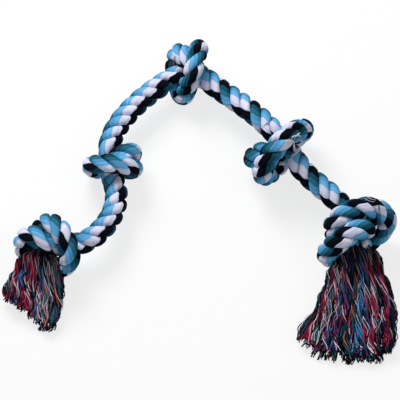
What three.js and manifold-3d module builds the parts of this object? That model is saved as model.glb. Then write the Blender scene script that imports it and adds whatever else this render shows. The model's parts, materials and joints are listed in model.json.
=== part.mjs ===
// A rope dog toy lying in an arch on the floor: cotton yarn twisted into three strands, the strands laid into
// one thick rope, five overhand knots tied in the rope, and both ends frayed into tassels of yarn locks.
// Millimetres, +Z up, the floor at Z = 0. The rope runs from the left tassel to the right one.
import * as THREE from "three";
import { mergeVertices } from "three/addons/utils/BufferGeometryUtils.js";
import Module from "manifold-3d";

// Rope
const ROPE_DIAMETER = 29;
const LAY_LENGTH = 54;
const GROOVE_DEPTH = 4.2;
const STRANDS = ["a", "b", "c"];
const STRAND_GAP = 0.5;
const HEART_GAP = 1.6;
const JOINT_GAP = 0.3;

// Knots: the tightest bend in them, in rope diameters, and the room between the turns of the rope
const KNOT_BEND = 0.62;
const KNOT_CLEARANCE = 2;
const SQUEEZE_LENGTH = 18;
const FLOOR_FLAT = ROPE_DIAMETER / 10;

// The arch in which the toy lies on the floor
const ARCH_WIDTH = 390;
const ARCH_DEPTH = 250;

// Where each knot lies, in shares of the arch from its middle, the headings at which the rope arrives and leaves
// (degrees from +X), how far the knot is rolled about the rope, whether it is tied right-handed (1) or left-handed
// (-1), the length along the rope that is left when the tight knot is pushed together, and the diameter to which
// the rope is squeezed inside it
const KNOTS = [
  { name: "knot_1", x: -0.4867, y: -0.289, arrives: 66, leaves: 16, roll: 45, hand: -1, press: 0.65, rope: 21.8 },
  { name: "knot_2", x: -0.2817, y: 0.188, arrives: 102, leaves: 90, roll: 170, hand: -1, press: 0.6, rope: 19 },
  { name: "knot_3", x: -0.0427, y: 0.714, arrives: 23, leaves: -20, roll: 345, hand: -1, press: 0.6, rope: 19.4 },
  { name: "knot_4", x: 0.2543, y: 0.255, arrives: -56, leaves: -56, roll: 215, hand: 1, press: 0.5, rope: 24 },
  { name: "knot_5", x: 0.4963, y: -0.221, arrives: -74, leaves: -78, roll: 118, hand: -1, press: 0.5, rope: 24.4 },
];

// Free stretches between the knots: how far the rope runs straight before it bends
const SPANS = ["span_1", "span_2", "span_3", "span_4"];
const SPAN_HANDLE = 36;
const SPAN_POINTS = 9;

// Tassels: where the tip lies in the arch and which way it points, the half widths at the shoulder and at the tip,
// and the locks of yarn in them. A tassel leaves its knot narrow, flares to its shoulder and then widens slowly.
const LEFT_TASSEL = { name: "left_tassel", tip: [-0.5597, -0.617], heading: -120, shoulder: 36, halfWidth: 45 };
const RIGHT_TASSEL = { name: "right_tassel", tip: [0.5043, -0.852], heading: -91, shoulder: 40, halfWidth: 65 };
const TASSEL_ROOT_HALF_WIDTH = 3;
const TASSEL_FLARE = 1.8;
const TASSEL_ROOT_HALF_HEIGHT = 13;
const TASSEL_TIP_HALF_HEIGHT = 9;
const INNER_LOCKS = 3;
const OUTER_LOCKS = 9;
const LOCK_GAP = 0.5;
const LOCK_SIDES = 6;
const SHOULDER_RINGS = 3;
const LOCK_RINGS = 7;

// Facets
const RINGS_PER_LAY = 8;
const SAMPLES_PER_POINT = 4;

const ROPE_RADIUS = ROPE_DIAMETER / 2;
const SECTOR = (2 * Math.PI) / STRANDS.length;
const COTTON = { roughness: 0.95, metalness: 0 };
const STRAND_COLOURS = [0x5aa5dc, 0xd9d9e6, 0x1f6f86];
const LOCK_COLOURS = [0x8c1f3a, 0x2d3557, 0x1f5b66, 0xc9c4d2, 0x3f6fb0, 0xc4502e];

const wasm = await Module();
wasm.setup();

// A loose overhand knot in rope of diameter 1: a pretzel rolled about X, between the far ends of its two tails.
function looseKnot(knot, ends) {
  const size = 1.15;
  const sweep = 2.2;
  const roll = new THREE.Matrix4().makeRotationX(THREE.MathUtils.degToRad(knot.roll));
  const points = [ends[0]];
  for (let i = 0; i <= 60; i++) {
    const t = sweep - (2 * sweep * i) / 60;
    const x = Math.sin(t) + 2 * Math.sin(2 * t);
    const y = Math.cos(t) - 2 * Math.cos(2 * t) - 1;
    const z = -1.2 * knot.hand * Math.sin(3 * t);
    points.push(new THREE.Vector3(x, y, z).multiplyScalar(size).applyMatrix4(roll));
  }
  points.push(ends[1]);
  return evenlySpaced(points, 85);
}

function evenlySpaced(points, count) {
  const along = lengths(points);
  const total = along[along.length - 1];
  return Array.from({ length: count }, (_, i) => pointAt(points, along, (total * i) / (count - 1)));
}

function lengths(points) {
  const along = [0];
  for (let i = 1; i < points.length; i++) along.push(along[i - 1] + points[i].distanceTo(points[i - 1]));
  return along;
}

function pointAt(points, along, s) {
  let i = 1;
  while (i < points.length - 1 && along[i] < s) i++;
  const share = (s - along[i - 1]) / (along[i] - along[i - 1]);
  return points[i - 1].clone().lerp(points[i], THREE.MathUtils.clamp(share, 0, 1));
}

// Pulls a loose knot tight: the rope shortens until it bears on itself, while the knot is held in the middle.
// Two points of the rope come no closer than its diameter, or than its tightest bend lets them where they are near
// each other along it. The knot is then pushed together, settles, and its sharpest bends ease a little.
function tightKnot(knot, tails) {
  const pulls = 1500;
  const settling = 300;
  const tension = 0.4;
  const give = 0.7;
  const easing = 0.5;
  const nearest = 1 + KNOT_CLEARANCE / knot.rope;
  let rope = looseKnot(knot, tails.map((tail) => tail.clone().multiplyScalar(6)));
  const last = rope.length - 1;
  for (let pull = 0; pull < pulls; pull++) {
    if (pull < pulls - settling) rope = shortened(rope, tension);
    if (pull === pulls - settling) pushTogether(rope, knot.press);
    const spacing = lengths(rope)[last] / last;
    const moves = rope.map(() => ({ push: new THREE.Vector3(), count: 0 }));
    const apart = new THREE.Vector3();
    for (let i = 0; i <= last; i++) {
      for (let j = i + 3; j <= last; j++) {
        const arc = Math.min(((j - i) * spacing) / (2 * KNOT_BEND), Math.PI / 2);
        const need = Math.min(nearest, 2 * KNOT_BEND * Math.sin(arc));
        const short = need - apart.subVectors(rope[i], rope[j]).length();
        if (short <= 0) continue;
        apart.setLength(short / 2);
        moves[i].push.add(apart);
        moves[j].push.sub(apart);
        moves[i].count++;
        moves[j].count++;
      }
    }
    for (let i = 1; i < last; i++) {
      rope[i].addScaledVector(moves[i].push, give / Math.sqrt(Math.max(moves[i].count, 1)));
    }
    holdMiddle(rope);
  }
  return shortened(rope, easing);
}

function holdMiddle(rope) {
  const middle = rope.slice(Math.ceil(0.3 * rope.length), Math.ceil(0.7 * rope.length));
  const drift = middle.reduce((sum, point) => sum.add(point), new THREE.Vector3()).divideScalar(middle.length);
  rope.forEach((point, i) => point.addScaledVector(drift, -awayFromEnds(rope, i)));
}

// Pushes a tight knot together along the rope, so that its loops stand out to the sides.
function pushTogether(rope, press) {
  const wider = 1 / Math.sqrt(press);
  rope.forEach((point, i) => {
    const pressed = new THREE.Vector3(press, wider, wider).multiply(point);
    point.lerp(pressed, awayFromEnds(rope, i));
  });
}

function awayFromEnds(rope, i) {
  return THREE.MathUtils.smoothstep(Math.min(i, rope.length - 1 - i) / (0.25 * rope.length), 0, 1);
}

function shortened(rope, tension) {
  return rope.map((point, i) => {
    if (i === 0 || i === rope.length - 1) return point.clone();
    const middle = rope[i - 1].clone().add(rope[i + 1]).multiplyScalar(0.5);
    return point.clone().lerp(middle, tension);
  });
}

// How far a knot reaches along one of its tails: past everything but that tail, which starts where the rope last
// touches itself.
function knotReach(rope, tail, outOf) {
  const spacing = lengths(rope)[rope.length - 1] / (rope.length - 1);
  const touches = (i) => rope.some((point, j) => Math.abs(i - j) * spacing > 1.8 && point.distanceTo(rope[i]) < 1.12);
  const touching = rope.map((_, i) => i).filter(touches);
  const loops = outOf ? rope.slice(0, touching[touching.length - 1] - 2) : rope.slice(touching[0] + 3);
  return Math.max(...loops.map((point) => point.dot(tail))) + 0.5;
}

// A knot's centreline where it lies: cut across both tails at its reach, turned, and lowered to the floor.
function placedKnot(knot) {
  const bend = THREE.MathUtils.degToRad((knot.arrives - knot.leaves) / 2);
  const heading = THREE.MathUtils.degToRad((knot.arrives + knot.leaves) / 2);
  const tails = [-1, 1].map((side) => new THREE.Vector3(side * Math.cos(bend), -Math.sin(bend), 0));
  const rope = tightKnot(knot, tails);
  const [back, front] = tails.map((tail, i) => knotReach(rope, tail, i === 1));
  const first = rope.findIndex((point) => point.dot(tails[0]) < back);
  const last = rope.findLastIndex((point) => point.dot(tails[1]) < front);
  const start = crossing(rope[first], rope[first - 1], tails[0], back);
  const end = crossing(rope[last], rope[last + 1], tails[1], front);
  const inside = rope.slice(first, last + 1);
  const kept = inside.filter((point) => point.distanceTo(start) > 0.1 && point.distanceTo(end) > 0.1);
  const turn = new THREE.Matrix4().makeRotationZ(heading);
  const placed = [start, ...kept, end].map((point) => point.applyMatrix4(turn).multiplyScalar(knot.rope));
  const lowest = Math.min(...placed.map((point) => point.z));
  const height = knot.rope / 2 - FLOOR_FLAT - lowest;
  return placed.map((point) => point.add(new THREE.Vector3(knot.x * ARCH_WIDTH, knot.y * ARCH_DEPTH, height)));
}

function crossing(inner, outer, tail, reach) {
  const share = (reach - inner.dot(tail)) / (outer.dot(tail) - inner.dot(tail));
  return inner.clone().lerp(outer, share);
}

// The whole rope as one smooth curve, with the place of each knot and free stretch along it.
function ropeRoute() {
  const knots = KNOTS.map(placedKnot);
  const points = [];
  const marks = {};
  knots.forEach((path, i) => {
    const first = points.length;
    points.push(...path);
    marks[KNOTS[i].name] = [first, points.length - 1];
    if (i + 1 === knots.length) return;
    const next = knots[i + 1];
    const from = path[path.length - 1];
    const leave = from.clone().addScaledVector(direction(path[path.length - 3], from), SPAN_HANDLE);
    const arrive = next[0].clone().addScaledVector(direction(next[2], next[0]), SPAN_HANDLE);
    const bridge = new THREE.CubicBezierCurve3(from, leave, arrive, next[0]).getPoints(SPAN_POINTS + 1);
    marks[SPANS[i]] = [points.length - 1, points.length + SPAN_POINTS];
    points.push(...bridge.slice(1, -1));
  });
  const curve = new THREE.CatmullRomCurve3(points, false, "centripetal");
  return { samples: curve.getPoints((points.length - 1) * SAMPLES_PER_POINT), marks };
}

function direction(from, to) {
  return to.clone().sub(from).normalize();
}

// A frame that follows the rope without twisting about it.
function ropeFrames(samples) {
  const frames = [];
  samples.forEach((point, i) => {
    const before = samples[Math.max(i - 1, 0)];
    const after = samples[Math.min(i + 1, samples.length - 1)];
    const along = after.clone().sub(before).normalize();
    const side = i ? frames[i - 1].side.clone() : new THREE.Vector3(0, 0, 1);
    side.addScaledVector(along, -side.dot(along)).normalize();
    frames.push({ point, along, side, up: along.clone().cross(side) });
  });
  return frames;
}

// A strand's section, from its inner edge round its crown: distance from the rope's axis, and angle about it.
function strandSection() {
  const corner = ROPE_RADIUS - GROOVE_DEPTH;
  const widest = SECTOR / 2 - STRAND_GAP / 2 / corner;
  const section = [[HEART_GAP, 0]];
  for (const share of [-1, -0.55, 0, 0.55, 1]) {
    section.push([ROPE_RADIUS - GROOVE_DEPTH * share * share, widest * share]);
  }
  return section;
}

// One strand between two places on the rope. A rounded end fits inside a ball of the rope's own radius, so that
// the free stretch can swing about the ball's centre.
function strandGeometry(rope, strand, start, end, rounded) {
  const section = strandSection();
  const count = Math.max(Math.ceil((RINGS_PER_LAY * (end - start)) / LAY_LENGTH), 2);
  const places = Array.from({ length: count + 1 }, (_, i) => start + ((end - start) * i) / count);
  if (rounded) {
    const nose = [0.005, 0.1, 0.45].map((share) => share * ROPE_RADIUS);
    const body = places.filter((s) => s > start + ROPE_RADIUS && s < end - ROPE_RADIUS);
    places.splice(0, places.length, ...nose.map((u) => start + u), start + ROPE_RADIUS);
    places.push(...body, end - ROPE_RADIUS, ...nose.map((u) => end - u).reverse());
  }
  const rings = places.map((s) => {
    const inset = rounded ? Math.max(start + ROPE_RADIUS - s, s - end + ROPE_RADIUS, 0) / ROPE_RADIUS : 0;
    const slim = ropeScale(rope, s) * Math.sqrt(1 - inset * inset);
    const frame = frameAt(rope, s);
    const turn = (2 * Math.PI * s) / LAY_LENGTH + SECTOR * strand;
    return section.map(([radius, angle]) => {
      const out = frame.side.clone().multiplyScalar(Math.cos(turn + angle));
      out.addScaledVector(frame.up, Math.sin(turn + angle));
      return frame.point.clone().addScaledVector(out, radius * slim);
    });
  });
  return skin(rings, (j, next) => section[j][0] <= section[next][0]);
}

function frameAt(rope, s) {
  let i = 1;
  while (i < rope.along.length - 1 && rope.along[i] < s) i++;
  const share = (s - rope.along[i - 1]) / (rope.along[i] - rope.along[i - 1]);
  const [a, b] = [rope.frames[i - 1], rope.frames[i]];
  return {
    point: a.point.clone().lerp(b.point, share),
    side: a.side.clone().lerp(b.side, share).normalize(),
    up: a.up.clone().lerp(b.up, share).normalize(),
    along: a.along.clone().lerp(b.along, share).normalize(),
  };
}

// How much of its free diameter the rope keeps: squeezed inside the knots, full in the free stretches.
function ropeScale(rope, s) {
  let scale = 1;
  for (const knot of KNOTS) {
    const [start, end] = rope.places[knot.name];
    const depth = THREE.MathUtils.smoothstep(Math.min(s - start, end - s), 0, SQUEEZE_LENGTH);
    scale = Math.min(scale, THREE.MathUtils.lerp(1, knot.rope / ROPE_DIAMETER, depth));
  }
  return scale;
}

// A closed skin over a row of rings that have the same number of points. Each quad is split along the diagonal
// that starts at its inner edge, so that neighbouring strands keep the same gap everywhere.
function skin(rings, startsInside = () => true) {
  const sides = rings[0].length;
  const triangles = [];
  for (let i = 0; i + 1 < rings.length; i++) {
    for (let j = 0; j < sides; j++) {
      const next = (j + 1) % sides;
      const [a, b, c, d] = [i * sides + j, i * sides + next, (i + 1) * sides + next, (i + 1) * sides + j];
      if (startsInside(j, next)) triangles.push(a, b, c, a, c, d);
      else triangles.push(a, b, d, b, c, d);
    }
  }
  const end = (rings.length - 1) * sides;
  for (let j = 1; j + 1 < sides; j++) {
    triangles.push(0, j + 1, j, end, end + j, end + j + 1);
  }
  const geometry = new THREE.BufferGeometry();
  geometry.setAttribute("position", new THREE.Float32BufferAttribute(rings.flat().flatMap((p) => p.toArray()), 3));
  geometry.setIndex(triangles);
  return geometry;
}

// Cuts off what would lie below the floor, so that the piece rests on a flat.
function cutAtFloor(geometry) {
  geometry.computeBoundingBox();
  if (geometry.boundingBox.min.z >= 0) return geometry;
  const depth = 2 * ROPE_DIAMETER;
  const size = geometry.boundingBox.getSize(new THREE.Vector3()).addScalar(depth);
  const centre = geometry.boundingBox.getCenter(new THREE.Vector3());
  const ground = new THREE.BoxGeometry(size.x, size.y, depth).translate(centre.x, centre.y, -depth / 2);
  const cut = solid(geometry).subtract(solid(ground)).getMesh();
  const result = new THREE.BufferGeometry();
  result.setAttribute("position", new THREE.Float32BufferAttribute(cut.vertProperties, 3));
  result.setIndex(Array.from(cut.triVerts));
  return result;
}

function solid(geometry) {
  const bare = geometry.clone();
  bare.deleteAttribute("normal");
  bare.deleteAttribute("uv");
  const merged = mergeVertices(bare, 1e-4);
  const vertProperties = new Float32Array(merged.getAttribute("position").array);
  return new wasm.Manifold(new wasm.Mesh({ numProp: 3, vertProperties, triVerts: new Uint32Array(merged.index.array) }));
}

// The locks of one tassel, as circles packed in a disc of radius 1: an inner and an outer ring.
function lockPlaces() {
  const gap = LOCK_GAP / TASSEL_TIP_HALF_HEIGHT;
  const outerSine = Math.sin(Math.PI / OUTER_LOCKS);
  const outer = (1 * outerSine) / (1 + outerSine);
  const innerDisc = 1 - 2 * outer - gap;
  const innerSine = Math.sin(Math.PI / INNER_LOCKS);
  const inner = (innerDisc * innerSine) / (1 + innerSine);
  const ring = (count, disc, radius) =>
    Array.from({ length: count }, (_, i) => ({
      angle: (2 * Math.PI * (i + 0.5)) / count,
      distance: disc - radius,
      radius: radius - gap / 2,
    }));
  return [...ring(INNER_LOCKS, innerDisc, inner), ...ring(OUTER_LOCKS, 1, outer)];
}

// A tassel's middle line: straight out of the knot, then down to the floor and round to its tip.
function tasselLine(root, outward, tassel) {
  const [x, y] = [tassel.tip[0] * ARCH_WIDTH, tassel.tip[1] * ARCH_DEPTH];
  const tip = new THREE.Vector3(x, y, TASSEL_TIP_HALF_HEIGHT);
  const heading = THREE.MathUtils.degToRad(tassel.heading);
  const reach = tip.distanceTo(root) / 3;
  const leave = root.clone().addScaledVector(outward, reach);
  const settle = tip.clone().addScaledVector(new THREE.Vector3(Math.cos(heading), Math.sin(heading), 0), -reach);
  return new THREE.CubicBezierCurve3(root, leave, settle, tip);
}

function lockGeometry(line, place, tassel, index) {
  const total = line.getLength();
  const flare = (tassel.shoulder - TASSEL_ROOT_HALF_WIDTH) / TASSEL_FLARE;
  const runs = [];
  for (let i = 0; i < SHOULDER_RINGS; i++) runs.push((flare * i) / SHOULDER_RINGS);
  for (let i = 0; i < LOCK_RINGS; i++) runs.push(flare + ((total - flare) * i) / LOCK_RINGS);
  runs.push(total * (1 - [0, 0.07, 0.03, 0.1, 0.05][index % 5]));
  const rings = runs.map((run) => {
    const point = line.getPointAt(run / total);
    const along = line.getTangentAt(run / total);
    const level = new THREE.Vector3(-along.y, along.x, 0).normalize();
    const up = along.clone().cross(level).negate();
    const spread = Math.max((run - flare) / (total - flare), 0);
    const shoulder = Math.min(TASSEL_ROOT_HALF_WIDTH + TASSEL_FLARE * run, tassel.shoulder);
    const width = shoulder + (tassel.halfWidth - tassel.shoulder) * spread;
    const height = THREE.MathUtils.lerp(TASSEL_ROOT_HALF_HEIGHT, TASSEL_TIP_HALF_HEIGHT, run / total);
    const ring = [];
    for (let j = 0; j < LOCK_SIDES; j++) {
      const angle = (-2 * Math.PI * j) / LOCK_SIDES;
      const across = place.distance * Math.cos(place.angle) + place.radius * Math.cos(angle);
      const rise = place.distance * Math.sin(place.angle) + place.radius * Math.sin(angle);
      ring.push(point.clone().addScaledVector(level, across * width).addScaledVector(up, rise * height));
    }
    return ring;
  });
  return skin(rings);
}

function mesh(name, geometry, colour) {
  const made = new THREE.Mesh(cutAtFloor(geometry), new THREE.MeshStandardMaterial({ color: colour, ...COTTON }));
  made.name = name;
  return made;
}

const { samples, marks } = ropeRoute();
const rope = { frames: ropeFrames(samples), along: lengths(samples), places: {} };
for (const [name, [first, last]] of Object.entries(marks)) {
  rope.places[name] = [rope.along[first * SAMPLES_PER_POINT], rope.along[last * SAMPLES_PER_POINT]];
}

const toy = new THREE.Group();
for (const { name } of KNOTS) {
  STRANDS.forEach((letter, strand) => {
    const geometry = strandGeometry(rope, strand, ...rope.places[name], false);
    toy.add(mesh(`${name}_strand_${letter}`, geometry, STRAND_COLOURS[strand]));
  });
}
for (const name of SPANS) {
  const [start, end] = rope.places[name];
  STRANDS.forEach((letter, strand) => {
    const geometry = strandGeometry(rope, strand, start + JOINT_GAP, end - JOINT_GAP, true);
    toy.add(mesh(`${name}_strand_${letter}`, geometry, STRAND_COLOURS[strand]));
  });
}
for (const [tassel, s, sign] of [[LEFT_TASSEL, 0, -1], [RIGHT_TASSEL, rope.along[rope.along.length - 1], 1]]) {
  const { point, along } = frameAt(rope, s);
  const outward = along.clone().multiplyScalar(sign);
  const root = point.clone().addScaledVector(outward, JOINT_GAP);
  const line = tasselLine(root, outward, tassel);
  lockPlaces().forEach((place, index) => {
    const number = String(index + 1).padStart(2, "0");
    const colour = LOCK_COLOURS[index % LOCK_COLOURS.length];
    toy.add(mesh(`${tassel.name}_lock_${number}`, lockGeometry(line, place, tassel, index), colour));
  });
}

export default toy;
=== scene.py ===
# A rope dog toy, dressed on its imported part: cotton rope of three strands with five overhand knots, and both ends
# frayed into tassels. Metres, +Z up, the floor at Z = 0. The rope's route repeats the one in the part's source.
import json
import math

import bpy
import numpy as np
from mathutils.bvhtree import BVHTree
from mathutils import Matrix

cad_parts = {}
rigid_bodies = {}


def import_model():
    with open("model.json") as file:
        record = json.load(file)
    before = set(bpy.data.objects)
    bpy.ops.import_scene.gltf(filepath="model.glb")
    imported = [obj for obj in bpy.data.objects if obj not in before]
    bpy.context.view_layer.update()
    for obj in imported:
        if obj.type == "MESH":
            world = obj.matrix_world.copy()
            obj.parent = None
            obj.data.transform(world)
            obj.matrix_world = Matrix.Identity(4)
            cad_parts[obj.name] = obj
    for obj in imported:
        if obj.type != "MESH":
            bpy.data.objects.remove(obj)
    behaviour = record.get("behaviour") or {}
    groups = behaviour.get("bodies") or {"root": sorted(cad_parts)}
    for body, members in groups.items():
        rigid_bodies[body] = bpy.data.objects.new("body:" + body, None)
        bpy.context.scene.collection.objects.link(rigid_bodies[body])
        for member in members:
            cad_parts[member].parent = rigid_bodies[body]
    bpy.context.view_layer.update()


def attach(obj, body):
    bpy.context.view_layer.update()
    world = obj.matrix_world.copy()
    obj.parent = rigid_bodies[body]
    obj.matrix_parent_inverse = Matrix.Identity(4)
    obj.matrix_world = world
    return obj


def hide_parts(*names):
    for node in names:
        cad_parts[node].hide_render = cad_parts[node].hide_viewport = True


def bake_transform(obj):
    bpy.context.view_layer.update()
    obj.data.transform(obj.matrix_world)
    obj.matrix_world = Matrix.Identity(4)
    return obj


# Rope. A strand's distance from the centre, its radius and its gap are shares of the rope's diameter
ROPE_DIAMETER = 0.029
LAY_LENGTH = 0.054
STRANDS = 3
STRAND_CENTRE = 0.272
STRAND_RADIUS = 0.232
STRAND_GAP = 0.008
# Where a strand is flattened by the other two, in degrees from its outer side, and how squarely a point faces them
STRAND_FLATS = (150, -150)
LEAST_FACING = 0.05
# The yarns round a strand: their number, the depth of the grooves between them, and their turns for each lay
YARNS_ROUND_STRAND = 24
YARN_GROOVE = 0.035
YARN_TURNS = 2
YARN_SLIP = 0.03
# How far each strand is turned about itself in the middle of a knot, how far all three are turned further in each
# knot, and how far each strand is turned in the middle of each free stretch, in turns
PHASES_IN_KNOTS = (0.0, 0.05, 0.5)
KNOT_TURNS = (-0.25, -0.125, 0.125, 0.25, 0.125)
PHASES_IN_SPANS = ((0.0, 0.05, 0.1), (0.0, 0.05, 0.0), (0.5, 0.05, 0.5), (0.5, 0.05, 0.5))
RING_STEP = 0.0015
# Bends: the step at which they are measured, the number of steps over which they are smoothed, and how near the rope
# comes to the centre of a tight one, as a share of its radius
BEND_STEP = 0.001
BEND_SMOOTHING = 7
BEND_SHARE = 0.92
LEAST_CURVATURE = 1e-6
# The rope's ends grow thinner where they go over into the tassels
FRAYED_SHARE = 0.6
FRAYED_LENGTH = 0.014
# The floor presses the lowest yarns together
FLOOR_FLAT = ROPE_DIAMETER / 10
PRESS_DEPTH = 0.0035
PRESS_LOWEST = 0.0004
LEAST_HEIGHT = 0.0001
# The rope in lengths that each cross one joint: the body where it starts, the body where it ends, and the bodies
# whose strands it stands for
LENGTHS_OF_ROPE = (
    ("rope_1_end", "knot_1", "span_1", ("knot_1", "span_1")),
    ("rope_2_lower", "span_1", "knot_2", ("knot_2",)),
    ("rope_2_upper", "knot_2", "span_2", ("span_2",)),
    ("rope_3_left", "span_2", "knot_3", ("knot_3",)),
    ("rope_3_right", "knot_3", "span_3", ("span_3",)),
    ("rope_4_upper", "span_3", "knot_4", ("knot_4",)),
    ("rope_4_lower", "knot_4", "span_4", ("span_4",)),
    ("rope_5_end", "span_4", "knot_5", ("knot_5",)),
)

# Knots: place on the floor, headings at which the rope arrives and leaves, roll about the rope, hand, how far the
# knot is pushed together, the diameter for which it is tied, and the diameter to which the rope swells in it
KNOTS = {
    "knot_1": dict(at=(-0.1898, -0.0723), arrives=66, leaves=16, roll=45, hand=-1, press=0.65,
                   rope=0.0218, full=0.0272),
    "knot_2": dict(at=(-0.1099, 0.0470), arrives=102, leaves=90, roll=170, hand=-1, press=0.6,
                   rope=0.0190, full=0.0248),
    "knot_3": dict(at=(-0.0167, 0.1785), arrives=23, leaves=-20, roll=345, hand=-1, press=0.6,
                   rope=0.0194, full=0.0250),
    "knot_4": dict(at=(0.0992, 0.0638), arrives=-56, leaves=-56, roll=215, hand=1, press=0.5,
                   rope=0.0240, full=0.0275),
    "knot_5": dict(at=(0.1936, -0.0553), arrives=-74, leaves=-78, roll=118, hand=-1, press=0.5,
                   rope=0.0244, full=0.0280),
}
FIRST_KNOT = "knot_1"
LAST_KNOT = "knot_5"
KNOT_CLEARANCE = 0.002
SQUEEZE_LENGTH = 0.018
# Tying, in diameters of the rope: the loose pretzel, its tails, and the tightest bend
PRETZEL_END = 2.2
PRETZEL_POINTS = 61
PRETZEL_DEPTH = 1.2
PRETZEL_SIZE = 1.15
TAIL_LENGTH = 6
KNOT_POINTS = 85
KNOT_BEND = 0.62
# The pulls that tighten a knot, of which the last ones only let it settle, and how far each one moves the rope
PULLS = 1500
SETTLING_PULLS = 300
TENSION = 0.4
GIVE = 0.7
EASING = 0.5
MIDDLE_OF_KNOT = (0.3, 0.7)
HELD_SHARE = 0.25
NEAR_POINTS = 3
LEAST_DISTANCE = 1e-9
# Where a tied rope touches itself, and how far its ends keep from the points next to them
FAR_ALONG = 1.8
TOUCHING_DISTANCE = 1.12
HALF_ROPE = 0.5
END_CLEARANCE = 0.1

SPANS = ("span_1", "span_2", "span_3", "span_4")
SPAN_HANDLE = 0.036
SPAN_POINTS = 9
SAMPLES_PER_POINT = 8

# Tassels: the knot that each hangs from, where the tip lies and which way it points, half widths at the shoulder and
# at the tip, the number of locks in each layer from the floor up, and the kinds of yarn in the top locks from left to
# right. At five places from left to right: the share of the length at which the yarns stop, how far their ends are
# spread sideways, and how far their middles bow out
PLACES_ACROSS = (-1, -0.5, 0, 0.5, 1)
TASSELS = {
    "left_tassel": dict(
        knot="knot_1", tip=(-0.2180, -0.1600), heading=-112, lean=0.0, shoulder=0.036, half_width=0.041,
        layers=(8, 9, 9), strays=26, seed=5,
        top=("red", "blue", "red", "white_red", "dark", "mixed", "grey", "grey", "teal"),
        stops=(0.74, 0.80, 0.84, 1.0, 0.97), spread=(0, 0, 0, 0, -0.004), bow=(-0.004, 0, 0, 0, 0.004)),
    "right_tassel": dict(
        knot="knot_5", tip=(0.1835, -0.2130), heading=-93, lean=-0.008, shoulder=0.040, half_width=0.064,
        layers=(12, 13, 11), strays=52, seed=11,
        top=("red", "grey", "blue", "mixed", "dark", "teal", "bright", "mixed", "white_red", "dark", "red"),
        stops=(0.86, 0.96, 1.0, 0.98, 0.84), spread=(-0.015, -0.004, 0, 0, -0.004), bow=(0, 0, 0, 0.002, 0.007)),
}
TASSEL_SAMPLES = 200
TASSEL_ROOT_RADIUS = 0.0145
TASSEL_ROOT_HALF_WIDTH = 0.034
TASSEL_ROOT_DEPTH = 0.016
TASSEL_ROOT_END = 0.002
TASSEL_ROOT_RINGS = 8
TASSEL_FLARE = 1.8
TASSEL_TIP_HALF_HEIGHT = 0.009
# Shares of a tassel's length: where its locks come loose, where its lean ends, and where its ends begin to spread
LOOSENING = (0.05, 0.6)
LEAN_END = 0.5
SPREAD_START = 0.4
# Painted shade: yarns are tinted darker at the root, where the knot shades them, and brighter at the tip.
# The tint changes between these shares of their length
PAINTED_ROOT_SHADE = 0.3
TIP_BRIGHTNESS = 1.3
PAINTED_SHADE_FADE = (0.1, 0.6)

# Layers of locks, from the floor up: half width, height, length and fullness, and the kinds in the middle layer
LAYER_WIDTHS = (1.0, 1.0, 0.9)
LAYER_HEIGHTS = (-0.62, 0.0, 0.62)
LAYER_LENGTHS = (1.04, 1.0, 0.97)
LAYER_FULLNESS = (1.15, 1.0, 0.85)
LOWEST_LAYER = 0
TOP_LAYER = 2
LOWEST_KIND = "dark"
MIDDLE_KINDS = ("dark", "dark", "teal", "mixed", "red")
# Locks: rings along a yarn, lay, radius, flatness, and how they vary in place, length and wave
LOCK_RINGS = 44
LOCK_LAY = 0.040
LOCK_FULLNESS = 1.05
LOCK_FLATNESS = 0.8
LOCK_SHIFT = 0.2
LOCK_LENGTHS = (0.92, 1.0)
LOCK_WAVES = (0.035, 0.055)
LOCK_SWAY = 0.0020
LOCK_LIFT = 0.0012
# The yarns of a lock: radii at the root and at the tip, and how they vary
YARN_SIDES = 5
YARN_RADII = (0.00055, 0.00078)
THIN_YARN = "pale"
THIN_YARN_RADII = (0.00042, 0.00048)
YARN_PLACES = (0.02, 1)
YARN_STARTS = (-0.016, -0.003)
YARN_LENGTHS = (0.93, 1.02)
YARN_STRAYING = 0.0014
YARN_SHADES = (0.75, 1.25)
YARN_LEAST_HEIGHT = 0.0009
FRIZZ = 0.0005
FRIZZ_WAVES = (0.010, 0.030)
FRIZZ_PHASES = (0, 6)
# Stray yarns on top of a tassel
STRAY_COLOURS = ("pale", "grey", "pink", "black", "crimson", "blue", "teal")
STRAY_RADIUS = 0.00032
STRAY_PLACES = (-0.8, 0.8)
STRAY_STARTS = (0.15, 0.75)
STRAY_LENGTHS = (0.12, 0.28)
STRAY_LAST = 0.93
STRAY_SLOPES = (-0.25, 0.25)
STRAY_SWAY = 0.0015
STRAY_WAVES = (0.02, 0.05)
STRAY_HEIGHT = 0.95
STRAY_LOCK_HEIGHT = 0.6
STRAY_LIFT = 0.0008
STRAY_LIFT_WAVE = 0.03

# Colours, linear. Round a strand: the number of yarns of each dye
STRAND_YARNS = ((3, (0.009, 0.070, 0.115)), (3, (0.022, 0.150, 0.225)), (3, (0.085, 0.320, 0.590)),
                (3, (0.140, 0.430, 0.720)), (6, (0.66, 0.67, 0.84)), (6, (0.003, 0.004, 0.009)))
STRAND_YARN_SHADES = (0.85, 1.12)
STRAND_SEED = 3
YARN_COLOURS = {
    "black": (0.005, 0.006, 0.010),
    "navy": (0.016, 0.026, 0.075),
    "teal": (0.012, 0.080, 0.110),
    "grey": (0.120, 0.130, 0.150),
    "maroon": (0.115, 0.008, 0.024),
    "crimson": (0.370, 0.020, 0.065),
    "purple": (0.110, 0.035, 0.170),
    "blue": (0.070, 0.230, 0.480),
    "pale": (0.640, 0.620, 0.700),
    "orange": (0.550, 0.110, 0.040),
    "pink": (0.480, 0.150, 0.220),
}
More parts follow.
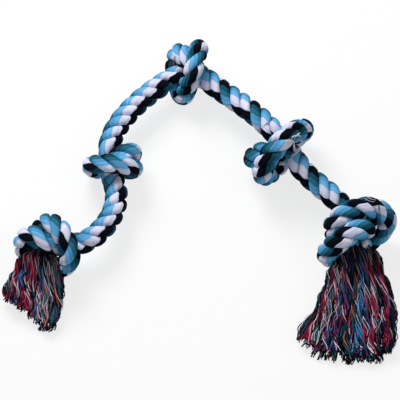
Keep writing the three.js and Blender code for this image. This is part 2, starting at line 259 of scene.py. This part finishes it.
# How many yarns of each colour a lock has
LOCK_KINDS = {
    "dark": dict(black=14, navy=3, teal=3, grey=1, maroon=2, pale=1),
    "red": dict(crimson=5, maroon=7, black=6, navy=2, pale=2, pink=1, orange=1),
    "white_red": dict(crimson=9, maroon=7, pale=5, pink=1, black=2),
    "teal": dict(teal=9, black=8, navy=3, grey=1, pale=1, orange=1, crimson=1),
    "blue": dict(navy=8, blue=5, black=5, purple=2, pale=2, orange=1, crimson=1),
    "bright": dict(blue=9, navy=5, teal=5, black=4, pale=1),
    "grey": dict(grey=7, pale=4, teal=5, black=6, pink=2),
    "mixed": dict(purple=4, crimson=4, navy=4, black=7, blue=2, pale=2, teal=1),
}

# Yarn ends that have worked loose: the body that they ride on, their colours and thickness, and for each one where
# it starts, where it ends, and how far its tip stands off
LOOSE_YARNS = {
    "knot_3_loose_yarns": ("knot_3", ("pink", "purple", "crimson", "black"), 0.0006, (
        ((-0.038, 0.184), (-0.033, 0.190), 0.002), ((-0.035, 0.183), (-0.037, 0.190), 0.002),
        ((-0.033, 0.185), (-0.040, 0.187), 0.001), ((-0.037, 0.188), (-0.031, 0.185), 0.002),
        ((-0.036, 0.182), (-0.031, 0.188), 0.001), ((-0.039, 0.186), (-0.035, 0.192), 0.001))),
    "knot_4_loose_yarns": ("knot_4", ("pale",), 0.0010, (
        ((0.124, 0.063), (0.106, 0.048), 0.002), ((0.125, 0.061), (0.106, 0.047), 0.002),
        ((0.126, 0.059), (0.107, 0.047), 0.002), ((0.127, 0.057), (0.107, 0.046), 0.001),
        ((0.126, 0.056), (0.114, 0.045), 0.001), ((0.125, 0.054), (0.115, 0.045), 0.001))),
    "knot_5_loose_yarns": ("knot_5", ("black", "pale"), 0.0004, (
        ((0.2213, -0.031), (0.2222, -0.063), 0.0), ((0.205, -0.026), (0.217, -0.032), 0.001),
        ((0.2225, -0.033), (0.2235, -0.060), 0.0), ((0.208, -0.024), (0.219, -0.029), 0.001))),
}
LOOSE_POINTS = 12
LOOSE_RINGS = 20
LOOSE_SIDES = 6
LOOSE_TAPER = 0.6
LOOSE_BOW = 0.0015
LOOSE_DROP = 0.008
OVER_THE_TOY = 0.3

# No yarn runs along this direction
TUBE_REFERENCE = np.array((0.31, 0.17, 0.93))

# Fineness of the fibres in the cotton
ROPE_FIBRES = 900
TASSEL_FIBRES = 1500

# Camera, floor and light. A lamp has a place, a size and a power
CAMERA_TARGET = np.array((-0.0002, 0.01425, 0.0))
CAMERA_ELEVATION = 65
CAMERA_DISTANCE = 8.0
FRAME_WIDTH = 0.5048
SENSOR_WIDTH = 36
FLOOR_HALF_SIZE = 4
FLOOR_GLOW = 0.75
LAMPS = {"key": ((-0.5, 0.9, 1.4), 0.8, 26), "fill": ((0.9, -0.6, 1.5), 1.2, 5)}


def smoothstep(x, low, high):
    share = np.clip((x - low) / (high - low), 0, 1)
    return share * share * (3 - 2 * share)


def unit(v):
    return v / np.linalg.norm(v, axis=-1, keepdims=True)


def lengths(points):
    steps = np.linalg.norm(np.diff(points, axis=0), axis=1)
    return np.concatenate(([0], np.cumsum(steps)))


def at_length(points, along, places):
    return np.stack([np.interp(places, along, points[:, i]) for i in range(3)], axis=1)


def evenly_spaced(points, count):
    along = lengths(points)
    return at_length(points, along, np.linspace(0, along[-1], count))


def loose_knot(knot, ends):
    """An overhand knot in rope of diameter 1: a pretzel rolled about X, between the far ends of its tails."""
    t = np.linspace(PRETZEL_END, -PRETZEL_END, PRETZEL_POINTS)
    x = np.sin(t) + 2 * np.sin(2 * t)
    y = np.cos(t) - 2 * np.cos(2 * t) - 1
    z = -PRETZEL_DEPTH * knot["hand"] * np.sin(3 * t)
    c, s = math.cos(math.radians(knot["roll"])), math.sin(math.radians(knot["roll"]))
    pretzel = PRETZEL_SIZE * np.stack([x, c * y - s * z, s * y + c * z], axis=1)
    return evenly_spaced(np.vstack([ends[:1], pretzel, ends[1:]]), KNOT_POINTS)


def tight_knot(knot, tails):
    """The knot pulled tight until the rope bears on itself, then pushed together, with its bends eased a little."""
    nearest = 1 + KNOT_CLEARANCE / knot["rope"]
    rope = loose_knot(knot, TAIL_LENGTH * tails)
    count = len(rope)
    index = np.arange(count)
    apart_by = np.abs(index[:, None] - index[None, :])
    middle = (index > MIDDLE_OF_KNOT[0] * count) & (index < MIDDLE_OF_KNOT[1] * count)
    held = smoothstep(np.minimum(index, count - 1 - index) / (HELD_SHARE * count), 0, 1)[:, None]
    for pull in range(PULLS):
        if pull < PULLS - SETTLING_PULLS:
            rope[1:-1] += TENSION * ((rope[:-2] + rope[2:]) / 2 - rope[1:-1])
        if pull == PULLS - SETTLING_PULLS:
            wider = 1 / math.sqrt(knot["press"])
            rope += held * (rope * (knot["press"], wider, wider) - rope)
        spacing = lengths(rope)[-1] / (count - 1)
        half_arc = np.minimum(apart_by * spacing / (2 * KNOT_BEND), math.pi / 2)
        need = np.minimum(nearest, 2 * KNOT_BEND * np.sin(half_arc))
        need[apart_by < NEAR_POINTS] = 0
        apart = rope[:, None] - rope[None, :]
        distance = np.linalg.norm(apart, axis=2)
        short = np.maximum(need - distance, 0)
        push = ((short / 2 / np.maximum(distance, LEAST_DISTANCE))[:, :, None] * apart).sum(axis=1)
        touching = np.sqrt(np.maximum((short > 0).sum(axis=1), 1))[:, None]
        rope[1:-1] += GIVE * (push / touching)[1:-1]
        rope -= held * rope[middle].mean(axis=0)
    rope[1:-1] += EASING * ((rope[:-2] + rope[2:]) / 2 - rope[1:-1])
    return rope


def knot_reach(rope, tails):
    """How far the knot reaches along each tail, past everything but that tail."""
    spacing = lengths(rope)[-1] / (len(rope) - 1)
    index = np.arange(len(rope))
    distance = np.linalg.norm(rope[:, None] - rope[None, :], axis=2)
    far = np.abs(index[:, None] - index[None, :]) * spacing > FAR_ALONG
    touching = index[((distance < TOUCHING_DISTANCE) & far).any(axis=1)]
    back = (rope[touching[0] + NEAR_POINTS:] @ tails[0]).max() + HALF_ROPE
    front = (rope[:touching[-1] + 1 - NEAR_POINTS] @ tails[1]).max() + HALF_ROPE
    return back, front


def crossing(inner, outer, tail, reach):
    """Where the line between two points of the rope is this far along a tail."""
    return inner + (outer - inner) * (reach - inner @ tail) / ((outer - inner) @ tail)


def placed_knot(knot):
    """The tied rope of one knot, without its tails, lying on the floor."""
    bend = math.radians((knot["arrives"] - knot["leaves"]) / 2)
    heading = math.radians((knot["arrives"] + knot["leaves"]) / 2)
    tails = np.array([[side * math.cos(bend), -math.sin(bend), 0] for side in (-1, 1)])
    rope = tight_knot(knot, tails)
    back, front = knot_reach(rope, tails)
    first = np.flatnonzero(rope @ tails[0] < back)[0]
    last = np.flatnonzero(rope @ tails[1] < front)[-1]
    start = crossing(rope[first], rope[first - 1], tails[0], back)
    end = crossing(rope[last], rope[last + 1], tails[1], front)
    inside = rope[first:last + 1]
    from_start, from_end = (np.linalg.norm(inside - place, axis=1) for place in (start, end))
    clear = (from_start > END_CLEARANCE) & (from_end > END_CLEARANCE)
    path = np.vstack([start, inside[clear], end]) * knot["rope"]
    c, s = math.cos(heading), math.sin(heading)
    path = path @ np.array([[c, s, 0], [-s, c, 0], [0, 0, 1]])
    height = knot["rope"] / 2 - FLOOR_FLAT - path[:, 2].min()
    return path + np.array([*knot["at"], height])


def bezier(a, b, c, d, t):
    t = np.asarray(t)[:, None]
    return (1 - t) ** 3 * a + 3 * t * (1 - t) ** 2 * b + 3 * t * t * (1 - t) * c + t ** 3 * d


def smooth_curve(points, per_point):
    """A centripetal Catmull-Rom curve through the points."""
    ends = np.vstack([2 * points[0] - points[1], points, 2 * points[-1] - points[-2]])
    gaps = np.sqrt(np.linalg.norm(np.diff(ends, axis=0), axis=1))[:, None]
    p0, p1, p2, p3 = ends[:-3], ends[1:-2], ends[2:-1], ends[3:]
    g0, g1, g2 = gaps[:-2], gaps[1:-1], gaps[2:]
    t1 = ((p1 - p0) / g0 - (p2 - p0) / (g0 + g1) + (p2 - p1) / g1) * g1
    t2 = ((p2 - p1) / g1 - (p3 - p1) / (g1 + g2) + (p3 - p2) / g2) * g1
    c2 = -3 * p1 + 3 * p2 - 2 * t1 - t2
    c3 = 2 * p1 - 2 * p2 + t1 + t2
    steps = [p1 + t1 * w + c2 * w * w + c3 * w ** 3 for w in np.arange(per_point) / per_point]
    return np.vstack([np.stack(steps, axis=1).reshape(-1, 3), points[-1]])


class Rope:
    """The rope's centreline, a frame along it that doesn't twist, and the place of each knot and free stretch."""

    def __init__(self):
        knots = {name: placed_knot(knot) for name, knot in KNOTS.items()}
        names = list(knots)
        points, marks = [], {}
        for i, name in enumerate(names):
            path = knots[name]
            marks[name] = (len(points), len(points) + len(path) - 1)
            points.extend(path)
            if i + 1 == len(names):
                break
            following = knots[names[i + 1]]
            leave = path[-1] + SPAN_HANDLE * unit(path[-1] - path[-3])
            arrive = following[0] + SPAN_HANDLE * unit(following[0] - following[2])
            shares = np.arange(1, SPAN_POINTS + 1) / (SPAN_POINTS + 1)
            marks[SPANS[i]] = (len(points) - 1, len(points) + SPAN_POINTS)
            points.extend(bezier(path[-1], leave, arrive, following[0], shares))
        self.points = smooth_curve(np.array(points), SAMPLES_PER_POINT)
        self.along = lengths(self.points)
        self.places = {n: tuple(self.along[i * SAMPLES_PER_POINT] for i in ends) for n, ends in marks.items()}
        before = np.vstack([self.points[:1], self.points[:-1]])
        after = np.vstack([self.points[1:], self.points[-1:]])
        self.tangents = unit(after - before)
        sides = [np.array((0.0, 0.0, 1.0))]
        for tangent in self.tangents:
            side = sides[-1] - tangent * (sides[-1] @ tangent)
            sides.append(side / np.linalg.norm(side))
        self.sides = np.array(sides[1:])
        self.even = np.arange(0, self.along[-1], BEND_STEP)
        bends = np.gradient(unit(at_length(self.tangents, self.along, self.even)), BEND_STEP, axis=0)
        near = np.ones(BEND_SMOOTHING) / BEND_SMOOTHING
        self.bends = np.stack([np.convolve(bends[:, i], near, "same") for i in range(3)], axis=1)

    def frame(self, s):
        point = at_length(self.points, self.along, s)
        tangent = unit(at_length(self.tangents, self.along, s))
        side = unit(at_length(self.sides, self.along, s))
        return point, tangent, side, np.cross(tangent, side)

    def flattened(self, s, offset):
        """Offsets from the centreline, kept short of the centre of a tight bend."""
        bend = at_length(self.bends, self.even, s)
        curvature = np.maximum(np.linalg.norm(bend, axis=1), LEAST_CURVATURE)
        inward = bend / curvature[:, None]
        past = np.maximum(np.einsum("ijk,ik->ij", offset, inward) - BEND_SHARE / curvature[:, None], 0)
        return offset - past[:, :, None] * inward[:, None, :]

    def scale(self, s):
        """The rope's thickness, as a share of its diameter: less in a knot and at the ends."""
        scale = np.ones(len(s))
        for name, knot in KNOTS.items():
            start, end = self.places[name]
            depth = smoothstep(np.minimum(s - start, end - s), 0, SQUEEZE_LENGTH)
            scale = np.minimum(scale, 1 + (knot["full"] / ROPE_DIAMETER - 1) * depth)
        from_end = np.minimum(s, self.along[-1] - s)
        return scale * (FRAYED_SHARE + (1 - FRAYED_SHARE) * smoothstep(from_end, 0, FRAYED_LENGTH))

    def middle(self, name):
        return sum(self.places[name]) / 2

    def phase(self, strand, s):
        """How far a strand is turned about itself, in turns."""
        turned = {self.middle(name): PHASES_IN_KNOTS[strand] + more for name, more in zip(KNOTS, KNOT_TURNS)}
        turned.update({self.middle(name): phases[strand] for name, phases in zip(SPANS, PHASES_IN_SPANS)})
        stations = sorted(turned)
        return np.interp(s, stations, [turned[station] for station in stations])


def pressed(height):
    """Heights over the floor, where the lowest yarns are pressed together but keep some relief."""
    below = PRESS_DEPTH * np.exp(np.minimum(height - PRESS_DEPTH, 0) / PRESS_DEPTH) - PRESS_LOWEST
    return np.where(height < PRESS_DEPTH, np.maximum(below, LEAST_HEIGHT), height - PRESS_LOWEST)


def strand_rings(rope, strand, s):
    """Rings round one strand. Their points follow the strand's own yarns, crest and groove by turns."""
    point, _, side, up = rope.frame(s)
    turn = math.tau * (s / LAY_LENGTH + strand / STRANDS)
    out = np.cos(turn)[:, None] * side + np.sin(turn)[:, None] * up
    across = -np.sin(turn)[:, None] * side + np.cos(turn)[:, None] * up
    count = 2 * YARNS_ROUND_STRAND
    angle = math.tau * (np.arange(count)[None, :] / count - rope.phase(strand, s)[:, None])
    angle = angle - YARN_TURNS * (1 + YARN_SLIP) * turn[:, None]
    slope = math.atan(math.tau * STRAND_CENTRE * ROPE_DIAMETER / LAY_LENGTH)
    radius = STRAND_RADIUS / np.sqrt(np.cos(angle) ** 2 + (np.sin(angle) * math.cos(slope)) ** 2)
    radius = radius * np.where(np.arange(count) % 2, 1 - YARN_GROOVE, 1)[None, :]
    wall = STRAND_CENTRE * math.sin(math.pi / STRANDS) - STRAND_GAP
    for flat in STRAND_FLATS:
        facing = np.cos(angle - math.radians(flat))
        reach = np.minimum(radius, wall / np.maximum(facing, LEAST_FACING))
        radius = np.where(facing > LEAST_FACING, reach, radius)
    size = (ROPE_DIAMETER * rope.scale(s))[:, None, None]
    outward = (STRAND_CENTRE + radius * np.cos(angle))[:, :, None] * out[:, None, :]
    sideways = (radius * np.sin(angle))[:, :, None] * across[:, None, :]
    rings = point[:, None, :] + rope.flattened(s, size * (outward + sideways))
    rings[:, :, 2] = pressed(rings[:, :, 2])
    return rings


def strand_tints(rng):
    """One colour for each yarn round a strand: groups of one dye, with a little difference from yarn to yarn."""
    dyed = np.repeat([colour for _, colour in STRAND_YARNS], [count for count, _ in STRAND_YARNS], axis=0)
    tints = dyed * rng.uniform(*STRAND_YARN_SHADES, (YARNS_ROUND_STRAND, 1))
    return np.repeat(tints, 2, axis=0)


def round_tube(line, radius, sides):
    along = unit(np.gradient(line, axis=0))
    side = unit(np.cross(along, TUBE_REFERENCE))
    up = np.cross(along, side)
    angle = math.tau * np.arange(sides) / sides
    ring = np.cos(angle)[None, :, None] * side[:, None, :] + np.sin(angle)[None, :, None] * up[:, None, :]
    return line[:, None, :] + radius[:, None, None] * ring


def tube_mesh(name, tubes):
    """One mesh of closed tubes. Each tube is its rings and the colours of its sides, which may change along it."""
    vertices, faces, tints, sharp = [], [], [], []
    base = 0
    for rings, colours in tubes:
        count, sides = rings.shape[:2]
        vertices.append(rings.reshape(-1, 3))
        i, j = np.meshgrid(np.arange(count - 1), np.arange(sides), indexing="ij")
        following = (j + 1) % sides
        ring, next_ring = i * sides, (i + 1) * sides
        quads = np.stack([ring + j, ring + following, next_ring + following, next_ring + j], axis=2)
        faces.append((quads.reshape(-1, 4) + base).tolist())
        colours = np.broadcast_to(colours, (count - 1, sides, 3))
        tints.append(np.repeat(colours.reshape(-1, 3), 4, axis=0))
        caps = [list(range(base + sides - 1, base - 1, -1))]
        caps.append(list(range(base + (count - 1) * sides, base + count * sides)))
        faces.append(caps)
        tints.append(np.repeat(colours[[0, -1]].mean(axis=1), sides, axis=0))
        sharp.extend(caps)
        base += count * sides
    mesh = bpy.data.meshes.new(name)
    mesh.from_pydata(np.vstack(vertices).tolist(), [], [face for group in faces for face in group])
    mesh.polygons.foreach_set("use_smooth", [True] * len(mesh.polygons))
    tint = mesh.attributes.new("tint", "FLOAT_COLOR", "CORNER")
    colours = np.vstack(tints)
    tint.data.foreach_set("color", np.hstack([colours, np.ones((len(colours), 1))]).ravel())
    rims = {frozenset((cap[k - 1], cap[k])) for cap in sharp for k in range(len(cap))}
    for edge in mesh.edges:
        if frozenset(edge.vertices) in rims:
            edge.use_edge_sharp = True
    made = bpy.data.objects.new(name, mesh)
    bpy.context.scene.collection.objects.link(made)
    return made


def cotton(name, fineness):
    """Soft cotton yarn: its colour comes from the yarns, a little uneven, and fine fibres roughen it."""
    material = bpy.data.materials.new(name)
    material.use_nodes = True
    nodes, links = material.node_tree.nodes, material.node_tree.links
    shader = nodes["Principled BSDF"]
    shader.inputs["Roughness"].default_value = 0.95
    shader.inputs["Specular IOR Level"].default_value = 0.05
    tint = nodes.new("ShaderNodeAttribute")
    tint.attribute_name = "tint"
    place = nodes.new("ShaderNodeTexCoord")
    fibres = nodes.new("ShaderNodeTexNoise")
    fibres.inputs["Scale"].default_value = fineness
    fibres.inputs["Detail"].default_value = 6
    links.new(place.outputs["Object"], fibres.inputs["Vector"])
    patches = nodes.new("ShaderNodeTexNoise")
    patches.inputs["Scale"].default_value = 60
    patches.inputs["Detail"].default_value = 3
    links.new(place.outputs["Object"], patches.inputs["Vector"])
    shade = nodes.new("ShaderNodeMapRange")
    shade.inputs["To Min"].default_value = 0.75
    shade.inputs["To Max"].default_value = 1.2
    links.new(patches.outputs["Fac"], shade.inputs["Value"])
    shaded = nodes.new("ShaderNodeVectorMath")
    shaded.operation = "SCALE"
    links.new(tint.outputs["Color"], shaded.inputs[0])
    links.new(shade.outputs["Result"], shaded.inputs["Scale"])
    links.new(shaded.outputs["Vector"], shader.inputs["Base Color"])
    bump = nodes.new("ShaderNodeBump")
    bump.inputs["Strength"].default_value = 0.5
    bump.inputs["Distance"].default_value = 0.0004
    links.new(fibres.outputs["Fac"], bump.inputs["Height"])
    links.new(bump.outputs["Normal"], shader.inputs["Normal"])
    return material


def add_camera():
    elevation = math.radians(CAMERA_ELEVATION)
    data = bpy.data.cameras.new("camera")
    data.lens = SENSOR_WIDTH * CAMERA_DISTANCE / FRAME_WIDTH
    camera = bpy.data.objects.new("camera", data)
    camera.location = CAMERA_TARGET + CAMERA_DISTANCE * np.array((0, -math.cos(elevation), math.sin(elevation)))
    camera.rotation_euler = (math.pi / 2 - elevation, 0, 0)
    bpy.context.scene.collection.objects.link(camera)
    bpy.context.scene.camera = camera


def add_rope(rope, material):
    """The rope in lengths that each cross one joint, cut in the middle of a knot or of a free stretch."""
    rng = np.random.default_rng(STRAND_SEED)
    tints = [strand_tints(rng) for _ in range(STRANDS)]
    for name, first, second, stands_for in LENGTHS_OF_ROPE:
        start = 0.0 if first == FIRST_KNOT else rope.middle(first)
        end = rope.along[-1] if second == LAST_KNOT else rope.middle(second)
        places = np.linspace(start, end, math.ceil((end - start) / RING_STEP) + 1)
        made = tube_mesh(name, [(strand_rings(rope, k, places), tints[k]) for k in range(STRANDS)])
        made.data.materials.append(material)
        hinge = rope.places[first][1] + (1 if first in KNOTS else -1) * ROPE_DIAMETER / 2
        point, tangent, _, _ = rope.frame(np.array([hinge]))
        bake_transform(made)
        for node in stands_for:
            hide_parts(*[f"{node}_strand_{letter}" for letter in "abc"])


class Tassel:
    """The line of a tassel from inside the rope's end to its tip, and its size along that line."""

    def __init__(self, rope, name):
        self.given = given = TASSELS[name]
        at_start = given["knot"] == FIRST_KNOT
        point, tangent, _, _ = rope.frame(np.array([0.0 if at_start else rope.along[-1]]))
        self.root = root = point[0]
        self.outward = outward = tangent[0] * (-1 if at_start else 1)
        tip = np.array([*given["tip"], TASSEL_TIP_HALF_HEIGHT])
        heading = math.radians(given["heading"])
        reach = np.linalg.norm(tip - root) / 3
        before = tip - reach * np.array((math.cos(heading), math.sin(heading), 0))
        course = bezier(root, root + outward * reach, before, tip, np.linspace(0, 1, TASSEL_SAMPLES))
        line = evenly_spaced(course, LOCK_RINGS + 1)
        self.total = total = lengths(line)[-1]
        inside = np.linspace(-TASSEL_ROOT_DEPTH, -TASSEL_ROOT_END, TASSEL_ROOT_RINGS)
        self.line = np.vstack([root + outward * inside[:, None], line])
        self.run = run = np.concatenate([inside, np.linspace(0, total, LOCK_RINGS + 1)])
        self.share = run / total
        along = unit(np.gradient(self.line, axis=0))
        self.level = unit(np.stack([-along[:, 1], along[:, 0], np.zeros(len(along))], axis=1))
        self.up = np.cross(along, self.level)
        shoulder = given["shoulder"]
        flare = shoulder / TASSEL_FLARE
        widening = np.clip((run - flare) / (total - flare), 0, 1)
        emerging = smoothstep(run, -TASSEL_ROOT_DEPTH, 0.0)
        root_width = TASSEL_ROOT_RADIUS + (TASSEL_ROOT_HALF_WIDTH - TASSEL_ROOT_RADIUS) * emerging
        width = np.minimum(np.maximum(root_width, TASSEL_FLARE * run), shoulder)
        self.width = width + (given["half_width"] - shoulder) * widening
        flattening = np.clip(self.share, 0, 1)
        self.height = TASSEL_ROOT_RADIUS + (TASSEL_TIP_HALF_HEIGHT - TASSEL_ROOT_RADIUS) * flattening
        self.loose = smoothstep(self.share, *LOOSENING)
        self.lock_radius = LOCK_FULLNESS * np.sqrt(self.width * self.height / sum(given["layers"]))
        self.lean = given["lean"] * (1 - smoothstep(self.share, 0, LEAN_END))

    def fall(self, sideways):
        """Where the yarns at a place across the tassel stop, and how far they spread sideways along their length."""
        given = (self.given[key] for key in ("stops", "spread", "bow"))
        stops, spread, bow = (np.interp(sideways, PLACES_ACROSS, values) for values in given)
        spreading = spread * smoothstep(self.share, SPREAD_START, 1)
        return stops, spreading + bow * np.sin(math.pi * np.clip(self.share, 0, 1))

    def yarn(self, across, rise, first, last):
        """A yarn at these distances from the tassel's line, between two lengths along it."""
        path = self.line + across[:, None] * self.level + rise[:, None] * self.up
        return evenly_spaced(path[(self.run >= first) & (self.run <= last)], LOCK_RINGS)


def lock_places(layers, rng):
    """Places of the locks across a tassel, as shares of its half width and half height, from the floor up."""
    places = []
    for layer, count in enumerate(layers):
        for i in range(count):
            share = (i + 0.5 + rng.uniform(-LOCK_SHIFT, LOCK_SHIFT)) / count
            places.append((layer, i, (2 * share - 1) * LAYER_WIDTHS[layer], LAYER_HEIGHTS[layer]))
    return places


def lock_kind(top_kinds, layer, i, rng):
    """The kind of a lock. One is drawn for each lock below the top, though the lowest layer is all of one kind."""
    if layer == TOP_LAYER:
        return top_kinds[i]
    drawn = MIDDLE_KINDS[rng.integers(len(MIDDLE_KINDS))]
    return LOWEST_KIND if layer == LOWEST_LAYER else drawn


def lock_tubes(tassel, rng):
    """The yarns of all locks, each lock twisted and waving."""
    given, run, loose = tassel.given, tassel.run, tassel.loose
    # Painted shade: each yarn's colour is darkened towards the root, under the knot, and brightened towards the tip
    shade = PAINTED_ROOT_SHADE + (TIP_BRIGHTNESS - PAINTED_ROOT_SHADE) * smoothstep(np.linspace(0, 1, LOCK_RINGS - 1), *PAINTED_SHADE_FADE)
    tubes = []
    for layer, i, sideways, above in lock_places(given["layers"], rng):
        kind = lock_kind(given["top"], layer, i, rng)
        wave = rng.uniform(0, math.tau, 2)
        waves = rng.uniform(*LOCK_WAVES)
        sway = LOCK_SWAY * loose * np.sin(math.tau * run / waves + wave[0])
        lift = LOCK_LIFT * loose * np.sin(math.tau * run / waves + wave[1])
        stops, spreading = tassel.fall(sideways)
        across = sideways * (tassel.width - tassel.lock_radius) + sway + tassel.lean + spreading
        rise = above * tassel.height + lift
        length = stops * rng.uniform(*LOCK_LENGTHS) * LAYER_LENGTHS[layer]
        for colour in [colour for colour, count in LOCK_KINDS[kind].items() for _ in range(count)]:
            thin = colour == THIN_YARN
            from_centre = 1 if thin else math.sqrt(rng.uniform(*YARN_PLACES))
            radius = LAYER_FULLNESS[layer] * tassel.lock_radius * from_centre
            turn = rng.uniform(0, math.tau) - math.tau * run / LOCK_LAY
            stop = min(length * rng.uniform(*YARN_LENGTHS), 1)
            frizz_wave = math.tau * run / rng.uniform(*FRIZZ_WAVES) + rng.uniform(*FRIZZ_PHASES)
            frizz = FRIZZ * loose * np.sin(frizz_wave)
            stray = rng.normal(0, YARN_STRAYING) * loose ** 2
            yarn_across = across + radius * np.cos(turn) + frizz + stray
            yarn_rise = rise + radius * np.sin(turn) * LOCK_FLATNESS + frizz
            yarn = tassel.yarn(yarn_across, yarn_rise, rng.uniform(*YARN_STARTS), stop * tassel.total)
            yarn[:, 2] = np.maximum(yarn[:, 2], YARN_LEAST_HEIGHT)
            tint = np.array(YARN_COLOURS[colour]) * rng.uniform(*YARN_SHADES)
            thickness = np.linspace(*(THIN_YARN_RADII if thin else YARN_RADII), LOCK_RINGS)
            # The yarn's colour carries the painted shade along its length
            tubes.append((round_tube(yarn, thickness, YARN_SIDES), tint * shade[:, None, None]))
    return tubes


def stray_tubes(tassel, rng):
    """Short yarns that lie askew on top of a tassel."""
    run, total = tassel.run, tassel.total
    tubes = []
    for _ in range(tassel.given["strays"]):
        place, wave = rng.uniform(*STRAY_PLACES), rng.uniform(0, math.tau, 2)
        stops, spreading = tassel.fall(place)
        last = STRAY_LAST * stops * total
        first = rng.uniform(*STRAY_STARTS) * last
        last = min(first + rng.uniform(*STRAY_LENGTHS) * total, last)
        across = place * tassel.width + rng.uniform(*STRAY_SLOPES) * (run - first) + tassel.lean + spreading
        across = across + STRAY_SWAY * np.sin(math.tau * run / rng.uniform(*STRAY_WAVES) + wave[0])
        lift = STRAY_LIFT * np.sin(math.tau * run / STRAY_LIFT_WAVE + wave[1])
        rise = STRAY_HEIGHT * tassel.height + tassel.lock_radius * STRAY_LOCK_HEIGHT + lift
        yarn = tassel.yarn(across, rise, first, last)
        tint = np.array(YARN_COLOURS[STRAY_COLOURS[rng.integers(len(STRAY_COLOURS))]])
        tubes.append((round_tube(yarn, np.full(LOCK_RINGS, STRAY_RADIUS), YARN_SIDES), tint))
    return tubes


def add_tassel(rope, name, material):
    tassel = Tassel(rope, name)
    rng = np.random.default_rng(tassel.given["seed"])
    made = tube_mesh(f"{name}_yarns", lock_tubes(tassel, rng) + stray_tubes(tassel, rng))
    made.data.materials.append(material)
    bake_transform(made)
    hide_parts(*[f"{name}_lock_{k:02d}" for k in range(1, 13)])


def add_loose_yarns(material):
    """Yarn ends that have worked loose: each lies on the top of a knot, and its tip stands off a little."""
    surfaces = []
    for made in [found for found in bpy.data.objects if found.name.startswith("rope_")]:
        corners = [tuple(vertex.co) for vertex in made.data.vertices]
        surfaces.append(BVHTree.FromPolygons(corners, [tuple(face.vertices) for face in made.data.polygons]))

    def on_top(place):
        hits = [surface.ray_cast((*place, OVER_THE_TOY), (0, 0, -1))[0] for surface in surfaces]
        return max((hit.z for hit in hits if hit), default=0.0)

    share = np.linspace(0, 1, LOOSE_POINTS)
    for name, (body, colours, thickness, places) in LOOSE_YARNS.items():
        radius = thickness * np.linspace(1, LOOSE_TAPER, LOOSE_RINGS)
        tubes = []
        for i, (start, end, lift) in enumerate(places):
            bow = LOOSE_BOW * np.sin(math.pi * share) * (-1) ** i
            along = unit(np.array(end) - start)
            floor_line = np.outer(1 - share, start) + np.outer(share, end) + np.outer(bow, (-along[1], along[0]))
            heights = np.array([on_top(place) for place in floor_line]) + thickness / 2
            heights = np.maximum(heights, heights[0] - LOOSE_DROP) + lift * share ** 2
            colour = np.array(YARN_COLOURS[colours[i % len(colours)]])
            yarn = evenly_spaced(np.column_stack([floor_line, heights]), LOOSE_RINGS)
            tubes.append((round_tube(yarn, radius, LOOSE_SIDES), colour))
        made = tube_mesh(name, tubes)
        made.data.materials.append(material)
        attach(made, body)


def add_floor():
    """A pale floor that glows a little for the camera alone, so that it stays white round a soft shadow."""
    mesh = bpy.data.meshes.new("floor")
    far = FLOOR_HALF_SIZE
    mesh.from_pydata([(-far, -far, 0), (far, -far, 0), (far, far, 0), (-far, far, 0)], [], [(0, 1, 2, 3)])
    floor = bpy.data.objects.new("floor", mesh)
    bpy.context.scene.collection.objects.link(floor)
    material = bpy.data.materials.new("white_sweep")
    material.use_nodes = True
    nodes, links = material.node_tree.nodes, material.node_tree.links
    shader = nodes["Principled BSDF"]
    shader.inputs["Base Color"].default_value = (0.9, 0.9, 0.9, 1)
    shader.inputs["Roughness"].default_value = 0.9
    shader.inputs["Specular IOR Level"].default_value = 0.0
    seen = nodes.new("ShaderNodeLightPath")
    glow = nodes.new("ShaderNodeEmission")
    glow.inputs["Strength"].default_value = 1.0
    mixed = nodes.new("ShaderNodeMixShader")
    share = nodes.new("ShaderNodeMath")
    share.operation = "MULTIPLY"
    share.inputs[1].default_value = FLOOR_GLOW
    links.new(seen.outputs["Is Camera Ray"], share.inputs[0])
    links.new(share.outputs["Value"], mixed.inputs["Fac"])
    links.new(shader.outputs["BSDF"], mixed.inputs[1])
    links.new(glow.outputs["Emission"], mixed.inputs[2])
    links.new(mixed.outputs["Shader"], nodes["Material Output"].inputs["Surface"])
    floor.data.materials.append(material)


def add_light():
    world = bpy.data.worlds.new("studio")
    bpy.context.scene.world = world
    world.use_nodes = True
    sky = world.node_tree.nodes["Background"]
    sky.inputs["Color"].default_value = (1, 1, 1, 1)
    sky.inputs["Strength"].default_value = 0.3
    for name, (place, size, power) in LAMPS.items():
        data = bpy.data.lights.new(name, "AREA")
        data.size = size
        data.energy = power
        lamp = bpy.data.objects.new(name, data)
        lamp.location = place
        aim = CAMERA_TARGET - np.array(place)
        tilt = math.atan2(math.hypot(aim[0], aim[1]), -aim[2])
        lamp.rotation_euler = (tilt, 0, math.atan2(aim[0], -aim[1]) + math.pi)
        bpy.context.scene.collection.objects.link(lamp)
    bpy.context.scene.view_settings.view_transform = "Standard"


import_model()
add_camera()
rope = Rope()
add_rope(rope, cotton("rope_cotton", ROPE_FIBRES))
tassel_cotton = cotton("tassel_cotton", TASSEL_FIBRES)
for tassel_name in TASSELS:
    add_tassel(rope, tassel_name, tassel_cotton)
add_loose_yarns(tassel_cotton)
add_floor()
add_light()
